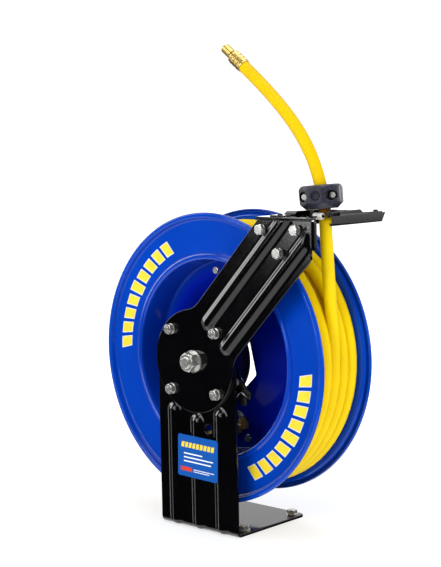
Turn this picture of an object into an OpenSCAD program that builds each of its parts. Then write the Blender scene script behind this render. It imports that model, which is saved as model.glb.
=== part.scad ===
// Spring-retractable air hose reel with one cantilevered pedestal.
// The spool turns about the Y axis, the pedestal is on the -Y side,
// +Z is up and the origin is the middle of the base's underside.

/* [Spool] */
// Height of the spool axle above the floor
axis_h = 238; // [234:1:242]
// Outer radius of the spool flanges
flange_r = 203; // [200:1:206]
// Thickness of the pressed sheet of the spool halves
sheet_t = 1.6; // [1.2:0.1:1.8]
// Distance across the flats of the hexagonal opening in the web
hex_af = 122.4; // [121.5:0.1:126]
// Number of screws that join the two spool halves
web_bolt_n = 6; // [3:1:6]

/* [Hose] */
// Outer diameter of the air hose
hose_d = 17; // [16.2:0.1:17.4]
// Radius of the middle of the outermost turns
lead_r = 180.5; // [180:0.1:182]

/* [Frame] */
// Width of the pedestal plate
post_w = 145; // [140:1:160]
// Plate thickness of the pedestal and the guide arm
plate_t = 4; // [3:0.5:4]
// Depth of the pedestal's foot
foot_d = 145; // [130:1:160]
// Radius of the round end of the guide arm
disc_r = 72; // [68:1:76]
// Direction of the guide arm above the horizontal
arm_dir = 46.5; // [45:0.5:48]
// Half the distance between the four arm bolts
arm_bolt_s = 42; // [38:1:44]
// Height of the pressed ribs
rib_h = 5; // [3:0.5:6]

/* [Label] */
// Width of the data plate
label_w = 75; // [60:1:80]
// Height of the data plate
label_h = 59; // [45:1:62]

/* [Hidden] */
$fn = 64;

pf = -75;                 // back face of the pedestal plate
pa = pf - plate_t;        // plane where the pedestal and the arm meet
pb = pa - plate_t;        // front face of the arm
hr = hose_d / 2;
zt = 440;                 // top of the guide bracket
gx = 178.5; gy = -14;     // where the hose passes the roller guide
stop_c = [175.4, -16.2, 463.4];
tail_p = [[178.5, -14, 438], [174.7, -19, 522.6], [134, -20, 568.8], [47, -20, 638]];
tail_tilt = -52;

// ---- helpers
function arc(cx, cy, r, a0, a1, n) = [for (i = [0:n]) let (a = a0 + (a1 - a0) * i / n) [cx + r * cos(a), cy + r * sin(a)]];
function unit(v) = v / norm(v);
function side(p, i) = let (n = len(p), d = unit(p[min(i + 1, n - 1)] - p[max(i - 1, 0)])) [-d[1], d[0]];
function strip(p, t) = concat([for (i = [0:len(p) - 1]) p[i] + side(p, i) * t / 2],
  [for (i = [len(p) - 1:-1:0]) p[i] - side(p, i) * t / 2]);
function bez(p, t) = pow(1 - t, 3) * p[0] + 3 * pow(1 - t, 2) * t * p[1] + 3 * (1 - t) * t * t * p[2] + t * t * t * p[3];
function blend01(t) = t <= 0 ? 0 : t >= 1 ? 1 : t * t * (3 - 2 * t);

// local z runs along the axle (+Y); an angle is counted from +X towards +Z
module on_axle() translate([0, 0, axis_h]) rotate([-90, 0, 0]) children();
module at_angle(a, r = 0) rotate([0, 0, -a]) translate([r, 0, 0]) children();
// a thing along -Y whose local z points to the front
module facing_front(x, y, z) translate([x, y, z]) rotate([90, 0, 0]) children();

// a swept tube of n sides through the points p
module tube_path(p, r, n = 8) {
  m = len(p);
  pts = [for (i = [0:m - 1])
    let (t = unit(p[min(i + 1, m - 1)] - p[max(i - 1, 0)]),
         y = [0, 1, 0], u = unit(y - (y * t) * t), v = cross(t, u))
    for (k = [0:n - 1]) p[i] + r * (cos(360 * (k + 0.5) / n) * u + sin(360 * (k + 0.5) / n) * v)];
  faces = concat(
    [for (i = [0:m - 2]) for (k = [0:n - 1]) let (a = i * n + k, b = i * n + (k + 1) % n) [a, b, b + n, a + n]],
    [[for (k = [n - 1:-1:0]) k]], [[for (k = [0:n - 1]) (m - 1) * n + k]]);
  polyhedron(points = pts, faces = faces, convexity = 10);
}

module hexhead(af, h) {
  intersection() {
    linear_extrude(h) circle(d = af / cos(30), $fn = 6);
    rotate_extrude() polygon([[0, 0], [af * 0.58, 0], [af * 0.58, h * 0.8], [af * 0.48, h], [0, h]]);
  }
}
module ring(ro, ri, h) difference() { cylinder(r = ro, h = h); translate([0, 0, -1]) cylinder(r = ri, h = h + 2); }

// a pressed rib along +Y from 0 to len, standing up in +Z from z = 0
module rib(len, wb, wt, h) {
  translate([0, 0, 0]) rotate([90, 0, 180]) translate([0, 0, 0]) linear_extrude(len)
    polygon([[-wb, -0.5], [wb, -0.5], [wb, 0], [wt, h], [-wt, h], [-wb, 0]]);
  for (y = [0, len]) translate([0, y, 0]) {
    cylinder(r1 = wb, r2 = wt, h = h);
    translate([0, 0, -0.5]) cylinder(r = wb, h = 0.5);
  }
}

// ---- frame
module post_outline() {
  intersection() {
    union() {
      translate([-post_w / 2, 6]) square([post_w, axis_h - 6]);
      translate([-post_w / 2 + 6, 0]) square([post_w - 12, 10]);
      translate([-post_w / 2 + 6, 6]) circle(r = 6);
      translate([post_w / 2 - 6, 6]) circle(r = 6);
      translate([0, axis_h]) circle(r = disc_r - 3);
    }
    translate([-100, 0]) square([200, axis_h + disc_r]);
  }
}
module post_ribs(g, h) for (q = [[-42, 144.5], [1.5, 132.5], [45, 145]]) translate([q[0], pa, 20]) rotate([90, 0, 0]) rib(q[1], 12 - g, 5 - g, h);

module pedestal() color([0.03, 0.03, 0.035]) {
  difference() {
    union() {
      difference() {
        translate([0, pf, 0]) rotate([90, 0, 0]) linear_extrude(plate_t) post_outline();
        translate([-100, pa - 1, -1]) cube([200, plate_t + 2, 9]);
      }
      // bend from the post into the foot
      translate([-post_w / 2 + 2, pa + 8, 8]) rotate([0, 90, 0]) rotate([0, 0, 0])
        rotate_extrude(angle = 90, start = 270) translate([8 - plate_t, 0]) square([plate_t, post_w - 4]);
      translate([-post_w / 2 + 2, pa + 8, 0]) cube([post_w - 4, foot_d - 8 - 6, plate_t]);
      translate([-post_w / 2 + 8, pa + 8, 0]) cube([post_w - 16, foot_d - 8, plate_t]);
      for (s = [-1, 1]) translate([s * (post_w / 2 - 8), pa + foot_d - 6, 0]) cylinder(r = 6, h = plate_t);
      post_ribs(0, rib_h);
    }
    translate([0, plate_t, 0]) post_ribs(3, rib_h);
    facing_front(0, pf + 1, axis_h) cylinder(r = 8.1, h = 20);
    for (x = [-1, 1]) for (z = [-1, 1]) facing_front(x * arm_bolt_s, pf + 1, axis_h + z * arm_bolt_s) cylinder(r = 4.3, h = 20);
    facing_front(21.5, pf + 1, 145) cylinder(r = 6.5, h = 20);
    for (x = [-1, 1]) for (y = [-1, 1]) translate([x * 60, y * 52, -1]) cylinder(r = 4.4, h = 20);
    facing_front(66, pf + 1, axis_h - 24) cylinder(r = 3, h = 3.6);
    facing_front(64, pf + 1, 190) cylinder(r = 1.5, h = 3.1);
  }
}

// arm outline in the XZ plane, origin on the axle
aw = 49;
ad = [cos(arm_dir), sin(arm_dir)]; an = [-sin(arm_dir), cos(arm_dir)];
arm_top = zt - 4 - axis_h; arm_right = 213; rf = 38;
fa = sqrt(pow(disc_r + rf, 2) - pow(aw + rf, 2));
function onarm(s, w) = s * ad + w * an;
sU = (arm_top - aw * an[1]) / ad[1];
sL = (arm_right + aw * an[0]) / ad[0];
th = atan2(aw + rf, fa);
module arm_outline() {
  cu = onarm(fa, aw + rf); cl = onarm(fa, -aw - rf);
  polygon(concat(
    arc(0, 0, disc_r, arm_dir + th, arm_dir - th + 360, 72),
    arc(cl[0], cl[1], rf, arm_dir - th + 180, arm_dir + 90, 9),
    [onarm(sL, -aw), [arm_right, arm_top], onarm(sU, aw)],
    arc(cu[0], cu[1], rf, arm_dir - 90, arm_dir + th - 180, 9)));
}
module arm_ribs(g, h, y) {
  translate([0, y, axis_h]) rotate([90, 0, 0]) intersection() {
    union() for (w = [17, -28]) translate([onarm(58, w)[0], onarm(58, w)[1], 0]) rotate([0, 0, arm_dir - 90]) rib(250, 10.2 - g, 4.6 - g, h);
    translate([0, 0, -1]) linear_extrude(h + 2) polygon([[0, 0], onarm(0, 80), [60, arm_top - 4], [arm_right - 5, arm_top - 4], [arm_right - 5, 0]]);
  }
}
module guide_arm() color([0.03, 0.03, 0.035]) {
  difference() {
    union() {
      translate([0, pa, axis_h]) rotate([90, 0, 0]) linear_extrude(plate_t) arm_outline();
      translate([arm_right - plate_t, pb + 1, axis_h + sL * ad[1] - aw * an[1] + 6]) cube([plate_t, 7.5, arm_top - (sL * ad[1] - aw * an[1]) - 6]);
      arm_ribs(0, rib_h - 0.5, pb);
    }
    arm_ribs(3, rib_h - 0.5, pa + 0.1);
    facing_front(0, pa + 1, axis_h) cylinder(r = 8.1, h = 20);
    for (x = [-1, 1]) for (z = [-1, 1]) facing_front(x * arm_bolt_s, pa + 1, axis_h + z * arm_bolt_s) cylinder(r = 4.3, h = 20);
    for (p = bracket_bolt_xz) facing_front(p[0], pa + 1, p[1]) cylinder(r = 4.3, h = 20);
  }
}
bracket_bolt_xz = [[127.7, 423.5], [185.8, 424], [157, 393.4]];

module arm_bolts() color("silver")
  for (x = [-1, 1]) for (z = [-1, 1]) facing_front(x * arm_bolt_s, pf, axis_h + z * arm_bolt_s) {
    translate([0, 0, -3.2]) cylinder(r = 6.2, h = 3.2);
    cylinder(r = 4.2, h = 2 * plate_t);
    cylinder(r = 3.95, h = 2 * plate_t + 10);
  }
module nut_with_washer(th) {
  difference() {
    union() { cylinder(r = 7.6, h = 1.5); translate([0, 0, 1.5]) hexhead(13, 6.5); }
    translate([0, 0, -1]) cylinder(r = 4.0, h = 20);
  }
}
module arm_nuts() color("silver")
  for (x = [-1, 1]) for (z = [-1, 1]) facing_front(x * arm_bolt_s, pb, axis_h + z * arm_bolt_s) rotate([0, 0, 17 * x + 8 * z]) nut_with_washer();

module main_shaft() color("gray") on_axle() {
  difference() {
    union() {
      translate([0, 0, pb - 17]) cylinder(r1 = 7, r2 = 8, h = 1);
      translate([0, 0, pb - 16]) cylinder(r = 8, h = 16 + 2 * plate_t);
      translate([0, 0, pf]) cylinder(r = 10, h = 25);
      translate([0, 0, -54.5]) cylinder(r = 15, h = 12.5);
      translate([0, 0, -42]) cylinder(r = 10, h = 32);
    }
    translate([11.5, -0.75, -58]) cube([20, 1.5, 16.5]);
    translate([0, 0, -13.6]) ring(12, 9.2, 1.2);
    // air way from the port at the back end to the cross hole under the swivel
    translate([0, 0, -21]) cylinder(r = 5.6, h = 20);
    translate([0, 0, -28]) cylinder(r = 4, h = 10);
    translate([0, 0, -24]) rotate([0, 90, 0]) translate([0, 0, -15]) cylinder(r = 2.5, h = 30);
  }
}
module shaft_washer() color("silver") on_axle() translate([0, 0, pb - 2.5]) ring(15.5, 8.2, 2.5);
module shaft_nut() color("silver") on_axle() translate([0, 0, pb - 2.5]) mirror([0, 0, 1]) difference() {
  rotate([0, 0, 12]) hexhead(24.5, 12.5);
  translate([0, 0, -1]) cylinder(r = 8.0, h = 20);
}
module shaft_collar() color("gray") on_axle() translate([0, 0, pf]) ring(15, 10.05, 4.7);

module data_plate() color([0.02, 0.2, 0.75]) {
  translate([5.5, pa - rib_h - 0.02, 103.5]) rotate([90, 0, 0]) rotate([0, 0, -1.5]) linear_extrude(0.8) {
    square([label_w - 6, label_h], center = true);
    square([label_w, label_h - 6], center = true);
    for (x = [-1, 1]) for (y = [-1, 1]) translate([x * (label_w / 2 - 3), y * (label_h / 2 - 3)]) circle(r = 3);
  }
}

module foot_bolts() color("silver") for (x = [-1, 1]) for (y = [-1, 1]) translate([x * 60, y * 52, 0]) {
  translate([0, 0, 0.3]) cylinder(r = 3.95, h = plate_t + 2);
  translate([0, 0, plate_t + 1.8]) rotate([0, 0, 20 * x + 11 * y]) hexhead(13, 5.6);
}
module foot_washers() color("silver") for (x = [-1, 1]) for (y = [-1, 1]) translate([x * 60, y * 52, plate_t]) ring(8.6, 4.1, 1.8);

// ---- hose guide
module guide_bracket() color([0.03, 0.03, 0.035]) {
  difference() {
    union() {
      translate([0, 0, zt - 3]) linear_extrude(3) polygon([[118, pb], [212, pb], [212, 73], [146, 73], [118, 34]]);
      // flange behind the arm
      translate([0, pa + 3, 0]) rotate([90, 0, 0]) linear_extrude(3)
        polygon([[118, zt - 1], [206, zt - 1], [206, 398], [172, 376], [140, 380], [118, 410]]);
      // turned-down lips
      translate([209, 0, 0]) rotate([90, 0, 90]) linear_extrude(3)
        polygon([[-53, zt - 1], [73, zt - 1], [66, zt - 12.5], [-43, zt - 12.5]]);
      translate([118, 0, 0]) rotate([90, 0, 90]) linear_extrude(3)
        polygon([[pa + 2, zt - 1], [34, zt - 1], [30, zt - 11], [pa + 12, zt - 11]]);
    }
    translate([gx - 23, gy - 23, zt - 20]) cube([46, 46, 30]);
    // slot that lets the hose in from the front corner
    translate([0, 0, zt - 9]) linear_extrude(12) polygon([[gx + 4, gy - 20], [gx + 22, gy - 18], [220, -50], [220, pa + 4], [196, pa + 4]]);
    for (p = bracket_bolt_xz) facing_front(p[0], pa + 4, p[1]) cylinder(r = 4.3, h = 5);
    for (p = cover_screw_xy) translate([p[0], p[1], zt - 5]) cylinder(r = 2.1, h = 10);
  }
  // tab that holds the pin of the short front roller
  difference() {
    translate([gx - 10, 0, 0]) rotate([90, 0, 90]) linear_extrude(2)
      polygon([[gy - 27, zt - 3], [gy - 23.2, zt - 3], [gy - 18, zt - 5.5], [gy - 10.6, zt - 5.5], [gy - 10.6, zt + 2], [gy - 18, zt + 2], [gy - 23.2, zt - 0.2], [gy - 27, zt - 0.2]]);
    translate([gx - 12, gy - rg, rzf]) rotate([0, 90, 0]) cylinder(r = 1.5, h = 6);
  }
}
cover_screw_xy = [[142, -62], [141, 44], [202, 65]];
module bracket_bolts() color("silver") for (p = bracket_bolt_xz) facing_front(p[0], pb, p[1]) {
  cylinder(r = 7.2, h = 1.6);
  translate([0, 0, 1.6]) rotate([0, 0, p[0]]) hexhead(13, 6);
  translate([0, 0, -plate_t - 12]) cylinder(r = 3.95, h = plate_t + 12);
}
module bracket_nuts() color("silver") for (p = bracket_bolt_xz) facing_front(p[0], pa + 3, p[1]) mirror([0, 0, 1]) difference() {
  hexhead(13, 6.5);
  translate([0, 0, -1]) cylinder(r = 4.0, h = 20);
}
// raised cover over the roller cage, open at the hose and towards the slot
module roller_cover() color([0.03, 0.03, 0.035]) {
  difference() {
    union() {
      translate([133, 0, zt]) rotate([90, 0, 90]) linear_extrude(70)
        polygon([[-46, 0], [-38, 5.5], [30, 5.5], [38, 0]]);
      translate([0, 0, zt]) linear_extrude(1.5) polygon([[130, -69], [154, -69], [154, -44], [133, -44], [133, 36], [203, 36], [209, 60], [209, 71], [195, 71], [182, 50], [133, 50], [130, -44]]);
    }
    translate([135, 0, zt - 1]) rotate([90, 0, 90]) linear_extrude(66)
      polygon([[-43, 0], [-37, 5.3], [29, 5.3], [35, 0]]);
    translate([gx - 27, gy - 40, zt - 1]) cube([67, 40, 12]);
    translate([gx - 27, gy - 40, zt - 1]) cube([50, 65, 12]);
    for (p = cover_screw_xy) translate([p[0], p[1], zt - 1]) cylinder(r = 2.1, h = 10);
  }
}
module cover_plate_screws() color("silver") for (p = cover_screw_xy) translate([p[0], p[1], zt]) {
  translate([0, 0, -6.5]) cylinder(r = 2.05, h = 9);
  translate([0, 0, 1.5]) rotate_extrude() polygon([[0, 0], [3.6, 0], [3.4, 0.9], [2.4, 1.7], [0, 2]]);
}
// rollers: one pair lies along Y, the other pair along X just below it
rr = 4.6; rg = hr + 0.5 + rr; rz1 = zt + 1.4; rz2 = zt - 8; rzf = zt - 1.2;
module roller(len, pin = 2) difference() {
  rotate_extrude() polygon([[0, 0], [rr - 0.8, 0], [rr, 0.8], [rr, len - 0.8], [rr - 0.8, len], [0, len]]);
  translate([0, 0, -1]) cylinder(r = pin + 0.05, h = len + 2);
}
module roller_left() color("gainsboro") translate([gx - rg, gy + 19.5, rz1]) rotate([90, 0, 0]) roller(29.5);
module roller_right() color("gainsboro") translate([gx + rg, gy + 19.5, rz1]) rotate([90, 0, 0]) roller(29.5);
module roller_front() color("gainsboro") translate([gx - 7.9, gy - rg, rzf]) rotate([0, 90, 0]) roller(14.8, 1.5);
module roller_back() color("gainsboro") translate([gx - 19.8, gy + rg, rz2]) rotate([0, 90, 0]) roller(39.6);
// shoulder screws: two held by the back wall of the cage, one across it and a short one in the bracket's tab
module roller_pins() color([0.08, 0.08, 0.09]) {
  for (s = [-1, 1]) {
    translate([gx + s * rg, gy + 22.9, rz1]) rotate([90, 0, 0]) cylinder(r = 2, h = 33.4);
    translate([gx + s * rg, gy - 10.3, rz1]) rotate([90, 0, 0]) cylinder(r1 = 2.8, r2 = 2.2, h = 1.2);
  }
  translate([gx - 23.5, gy + rg, rz2]) rotate([0, 90, 0]) cylinder(r = 2, h = 48);
  translate([gx + 22.9, gy + rg, rz2]) rotate([0, 90, 0]) cylinder(r1 = 3.4, r2 = 2.8, h = 1.8);
  translate([gx - 10.6, gy - rg, rzf]) rotate([0, 90, 0]) cylinder(r = 1.45, h = 18.2);
  translate([gx + 7, gy - rg, rzf]) rotate([0, 90, 0]) cylinder(r1 = 2.5, r2 = 2, h = 1.2);
}
module roller_cage() color([0.03, 0.03, 0.035]) difference() {
  union() {
    translate([gx - 22.9, gy + 5, rz2 - 5]) cube([2.6, 17.9, 11]);
    translate([gx + 20.3, gy + 5, rz2 - 5]) cube([2.6, 17.9, 11]);
    translate([gx - 22.9, gy + 20.3, rz2 - 5]) cube([45.8, 2.6, 11]);
    translate([gx - 20, gy + 20.3, rz2 + 5]) cube([40, 2.6, 7.4]);
    translate([gx - 12, gy + 22, zt + 0.02]) cube([24, 6, 2.4]);
  }
  for (s = [-1, 1]) translate([gx + s * rg, gy + 30, rz1]) rotate([90, 0, 0]) cylinder(r = 2, h = 20);
  translate([gx - 30, gy + rg, rz2]) rotate([0, 90, 0]) cylinder(r = 2, h = 60);
}

// ---- ratchet latch
module pawl() color([0.05, 0.05, 0.05]) on_axle() {
  translate([0, 0, -69]) difference() {
    linear_extrude(4) union() {
      translate([66, 24]) circle(r = 7.5);
      polygon([[60.5, 19.5], [57.3, 4], [58.6, -2], [62.5, -4], [66, 4], [72.5, 20.5]]);
      polygon([[60, 27], [72, 20], [84, 32], [92, 37], [91, 45], [84, 46], [76, 56], [70, 50], [64, 41], [62, 33]]);
      translate([79.5, 50]) circle(r = 5);
    }
    translate([66, 24, -1]) cylinder(r = 3.05, h = 6);
    translate([86, 41, -1]) cylinder(r = 1.6, h = 6);
  }
}
module pawl_stud() color("silver") on_axle() translate([66, 24, pf - 2.4]) cylinder(r = 3, h = 18.4);
module pawl_spacer() color("silver") on_axle() translate([66, 24, pf]) ring(5.2, 3.02, 5.85);
module pawl_nut() color("silver") on_axle() translate([66, 24, -64.85]) difference() { hexhead(10, 5); translate([0, 0, -1]) cylinder(r = 3.0, h = 9); }
// hairpin spring between the pawl's tail and its post
module pawl_spring() color("silver") {
  p = [for (i = [0:10]) let (t = i / 10) [84.4 - 17.6 * t, -72.2, axis_h - 40.6 - 7 * t + 7 * sin(180 * t)]];
  tube_path(concat([[86.4, -65.6, axis_h - 41], [85.9, -70, axis_h - 41], [85.3, -71.6, axis_h - 40.9]], p), 0.9, 6);
}
module spring_post() color("silver") facing_front(64, pf, 190) { translate([0, 0, 0]) cylinder(r = 1.5, h = 2); translate([0, 0, -5]) cylinder(r = 1.5, h = 5); }

// ---- spool
web_a = 43; web_r = 121;
function half_profile() = concat(
  arc(flange_r - 4, -51.3, 3.2, 410, 180, 14),
  arc(flange_r - 12.5, -50.8, 5, 0, 90, 6),
  [[flange_r - 30, -45.8], [150, -45.8]],
  arc(141.9, -45.2, 4.1, -12, -180, 12),
  [[137.3, -25]],
  arc(130.8, -6.85, 6, 0, 90, 6),
  [[115, -0.85], [113.2, -1.25], [111.5, -2.67]],
  [[79, -27.2], [76.5, -28.8], [73.5, -29.3], [56, -29.3]]);
module spool_half(near) {
  difference() {
    rotate_extrude($fn = 128) polygon(strip(half_profile(), sheet_t));
    translate([0, 0, -40]) rotate([0, 0, near ? -43.8 : 43.8]) linear_extrude(30) circle(d = hex_af / cos(30), $fn = 6);
    for (k = [0:web_bolt_n - 1]) at_angle((near ? 1 : -1) * (web_a + k * 360 / web_bolt_n) , web_r) translate([0, 0, -5]) cylinder(r = 3.3, h = 10);
    if (near) {
      // hose entry through the drum wall and clearance for the outlet pipe
      at_angle(-68, 101) translate([0, 76, -24]) rotate([-90, 0, 0]) cylinder(r = 9.6, h = 30);
      at_angle(-68) translate([74, 0, -24]) rotate([0, 90, 0]) cylinder(r = 6.5, h = 28);
      for (k = [0:2]) at_angle(43.8 + 120 * k, 76) translate([0, 0, -40]) cylinder(r = 2.7, h = 30);
    }
  }
}
module spool_near_half() color([0.0, 0.1, 0.65]) on_axle() spool_half(true);
module spool_far_half() color([0.0, 0.1, 0.65]) on_axle() rotate([180, 0, 0]) spool_half(false);
module web_bolts() color("silver") on_axle() for (k = [0:web_bolt_n - 1]) at_angle(web_a + k * 360 / web_bolt_n, web_r) {
  translate([0, 0, -1.68 - 4]) { translate([0, 0, 3]) cylinder(r = 5.7, h = 1); translate([0, 0, 4]) mirror([0, 0, 1]) rotate([0, 0, 25 * k]) hexhead(10, 4.4); }
  translate([0, 0, -1.7]) cylinder(r = 2.95, h = 10);
}
module web_nuts() color("silver") on_axle() for (k = [0:web_bolt_n - 1]) at_angle(web_a + k * 360 / web_bolt_n, web_r)
  translate([0, 0, 1.68]) difference() { hexhead(10, 5); translate([0, 0, -1]) cylinder(r = 3, h = 9); }

module spring_canister() color([0.04, 0.04, 0.045]) on_axle() {
  difference() {
    translate([0, 0, -65]) cylinder(r = 60, h = 29.5, $fn = 96);
    translate([0, 0, -63]) cylinder(r = 58.4, h = 40, $fn = 96);
    translate([0, 0, -66]) cylinder(r = 12, h = 10);
    for (k = [0:3]) at_angle(45 + 90 * k, 36) translate([0, 0, -70]) cylinder(r = 2.1, h = 10);
  }
  translate([0, 0, -63.2]) ring(17, 12, 7);
}
module canister_cover() color([0.04, 0.04, 0.045]) on_axle() {
  difference() {
    union() {
      translate([0, 0, -35.4]) cylinder(r = 60, h = 3, $fn = 96);
      translate([0, 0, -41.4]) cylinder(r = 17, h = 7);
      for (k = [0:2]) at_angle(43.8 + 120 * k) {
        translate([40, -13, -35.4]) cube([38, 26, 3]);
        translate([76, 0, -35.4]) cylinder(r = 9, h = 5.2);
        translate([78, 0, -35.4]) cylinder(r = 13, h = 3);
      }
    }
    translate([0, 0, -50]) cylinder(r = 12, h = 30);
    for (k = [0:2]) at_angle(43.8 + 120 * k, 76) translate([0, 0, -40]) cylinder(r = 2.7, h = 30);
  }
}
module cover_screws() color("silver") on_axle() for (k = [0:2]) at_angle(43.8 + 120 * k, 76) {
  translate([0, 0, -39.6]) hexhead(9, 4.2);
  translate([0, 0, -35.6]) cylinder(r = 2.6, h = 11);
}
module ratchet_wheel() color([0.06, 0.06, 0.06]) on_axle() translate([0, 0, -69]) difference() {
  cylinder(r = 56, h = 3.98, $fn = 96);
  translate([0, 0, -1]) cylinder(r = 16, h = 6);
  // twelve ratchet notches; each has one steep flank
  for (k = [0:11]) rotate([0, 0, 30 * k - 5]) translate([0, 0, -1]) linear_extrude(6)
    polygon([[49, 0], [60, -0.6], [60, 15], [56.5, 14.5]]);
  for (k = [0:3]) at_angle(45 + 90 * k, 36) translate([0, 0, -1]) cylinder(r = 2.1, h = 10);
  for (k = [0:3]) at_angle(90 * k, 33) translate([0, 0, -1]) cylinder(r = 8, h = 6);
}
module power_spring() color("dimgray") on_axle() {
  n = 92; r0 = 18.5; r1 = 57.9; t = 0.9; turns = 5.5;
  q = [for (i = [0:n]) let (a = 360 * turns * i / n, r = r0 + (r1 - r0) * i / n) [r * cos(a), r * sin(a)]];
  translate([0, 0, -54]) linear_extrude(11.5) polygon(strip(q, t));
}
module front_bush() color([0.6, 0.42, 0.2]) on_axle() translate([0, 0, -68.8]) { ring(11.98, 10.05, 12.6); ring(14, 10.05, 3.75); }
module rear_bush() color([0.6, 0.42, 0.2]) on_axle() translate([0, 0, -41.4]) ring(11.98, 10.05, 9);

// ---- air way that turns with the spool
module swivel_body() color([0.75, 0.6, 0.25]) on_axle() difference() {
  union() {
    translate([0, 0, -32.3]) cylinder(r = 16, h = 3);
    translate([0, 0, -30]) rotate([0, 0, 38]) linear_extrude(13) circle(d = 30 / cos(30), $fn = 6);
    translate([0, 0, -17.2]) cylinder(r = 14, h = 2);
  }
  translate([0, 0, -40]) cylinder(r = 10.05, h = 40);
  translate([0, 0, -28.6]) ring(11.6, 5, 2.4);
  translate([0, 0, -21.4]) ring(11.6, 5, 2.4);
  translate([0, 0, -24]) ring(11.2, 5, 1.6);
  at_angle(-68) translate([8, 0, -24]) rotate([0, 90, 0]) cylinder(r = 2.5, h = 20);
  at_angle(-68) translate([12.5, 0, -24]) rotate([0, 90, 0]) cylinder(r = 4, h = 20);
}
module swivel_seals() color([0.05, 0.05, 0.05]) on_axle() for (z = [-28.5, -21.3]) translate([0, 0, z]) ring(11.55, 10.06, 2.2);
module swivel_clip() color("silver") on_axle() translate([0, 0, -13.5]) difference() {
  ring(13, 9.25, 1);
  translate([0, -2.5, -1]) cube([20, 5, 4]);
}
module outlet_pipe() color("silver") on_axle() at_angle(-68) translate([13, 0, -24]) rotate([0, 90, 0]) difference() {
  union() { cylinder(r = 3.98, h = 78); translate([0, 0, 2.2]) cylinder(r = 5.2, h = 3); }
  translate([0, 0, -1]) cylinder(r = 2.5, h = 90);
}
module outlet_elbow() color([0.72, 0.45, 0.25]) on_axle() at_angle(-68) translate([101, 0, -24]) difference() {
  union() {
    sphere(r = 8);
    rotate([0, -90, 0]) cylinder(r = 6.2, h = 10);
    rotate([-90, 0, 0]) cylinder(r = 7, h = 16);
    rotate([-90, 0, 0]) translate([0, 0, 9]) linear_extrude(6) circle(d = 17 / cos(30), $fn = 6);
  }
  rotate([0, -90, 0]) translate([0, 0, 9.9]) cylinder(r = 4, h = 20);
  rotate([0, -90, 0]) translate([0, 0, -2]) cylinder(r = 3, h = 20);
  rotate([-90, 0, 0]) translate([0, 0, 0]) cylinder(r = 3, h = 30);
}
module hose_inner_end() color([1, 0.84, 0]) on_axle() intersection() {
  at_angle(-68) translate([101, 0, -24]) rotate([-90, 0, 0]) translate([0, 0, 16]) difference() {
    cylinder(r = hr, h = 95);
    translate([0, 0, -1]) cylinder(r = 4.8, h = 100);
  }
  translate([0, 0, -50]) cylinder(r = 139.3, h = 50, $fn = 128);
}

// ---- hose
// rolled hose: two inner layers and the two outer turns beside the far flange
module hose_pack() color([1, 0.84, 0]) on_axle() rotate_extrude($fn = 128) {
  translate([139.4, -44.4]) square([22, 88.8]);
  for (k = [0:4]) translate([161.4, -35.4 + 17.7 * k]) circle(r = 8.4);
  for (y = [17, 35.4]) translate([lead_r, y]) circle(r = 8.4);
  translate([161, 9]) square([lead_r - 161, 34.8]);
}
// last turns of the hose, from the middle of the pack towards the near flange
function lead_y(t) = -1 - 17.5 * blend01((t - 0.45) / 0.3) - 17.2 * blend01((t - 1.45) / 0.3);
lead_turns = 2.45; lead_n = 54;
run_p = [[lead_r, -1.1, 258], [lead_r, -2.2, 280], [lead_r, -5, 302], [lead_r, -8, 330], [180.3, -11, 370], [179.5, -13, 405], [178.6, -14, 437.1]];
lead_p = concat(
  [for (i = [lead_n:-1:0]) let (t = lead_turns * i / lead_n) [lead_r * cos(-360 * t), lead_y(t), axis_h + lead_r * sin(-360 * t)]],
  run_p);
module hose_lead() color([1, 0.84, 0]) tube_path(lead_p, hr - 0.2, 8);
tail_u = [sin(tail_tilt), 0, cos(tail_tilt)];
module hose_tail() color([1, 0.84, 0]) tube_path(concat([for (i = [0:14]) bez(tail_p, i / 14)], [tail_p[3] + 7 * tail_u, tail_p[3] + 14.9 * tail_u]), hr - 0.1, 10);

// clamp ball that stops the hose at the guide; it is split on a plane through the hose
module stopper_solid() {
  difference() {
    intersection() {
      linear_extrude(31.5) rotate([0, 0, 22.5]) circle(d = 54.8 / cos(22.5), $fn = 8);
      rotate_extrude() polygon([[0, 0], [21, 0], [28.6, 7.5], [29, 26.5], [27.2, 30], [24.5, 31.5], [0, 31.5]]);
    }
    translate([0, 0, -1]) cylinder(r = hr + 0.35, h = 40);
    rotate_extrude() polygon([[0, -1], [hr + 3, -1], [hr + 0.3, 2.5], [0, 2.5]]);
    for (x = [-19, 19]) {
      translate([x, -40, 17]) rotate([-90, 0, 0]) cylinder(r = 2.3, h = 80);
      translate([x, -8, 17]) rotate([90, 0, 0]) cylinder(r = 6.6, h = 30);
      translate([x, 8, 17]) rotate([-90, 0, 0]) cylinder(r = 6.6, h = 30);
    }
    translate([0, -26.2, 17]) rotate([90, 0, 0]) ring(6.2, 4.6, 10);
    translate([0, -25.6, 17]) rotate([90, 0, 0]) cylinder(r = 3.4, h = 10);
  }
}
module in_stopper() translate([stop_c[0], stop_c[1], stop_c[2] - 15.75]) rotate([0, -5, 0]) rotate([0, 0, 22]) children();
module stopper_front() color([0.05, 0.05, 0.06]) in_stopper() intersection() { stopper_solid(); translate([-50, -50.3, -5]) cube([100, 50, 50]); }
module stopper_rear() color([0.05, 0.05, 0.06]) in_stopper() intersection() { stopper_solid(); translate([-50, 0.3, -5]) cube([100, 50, 50]); }
module stopper_screws() color("silver") in_stopper() for (x = [-19, 19]) translate([x, 0, 17]) {
  rotate([90, 0, 0]) { translate([0, 0, -10]) cylinder(r = 2.2, h = 19); translate([0, 0, 8.02]) hexhead(8.4, 4); }
  rotate([-90, 0, 0]) translate([0, 0, 8.02]) hexhead(8.4, 3.6);
}

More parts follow.
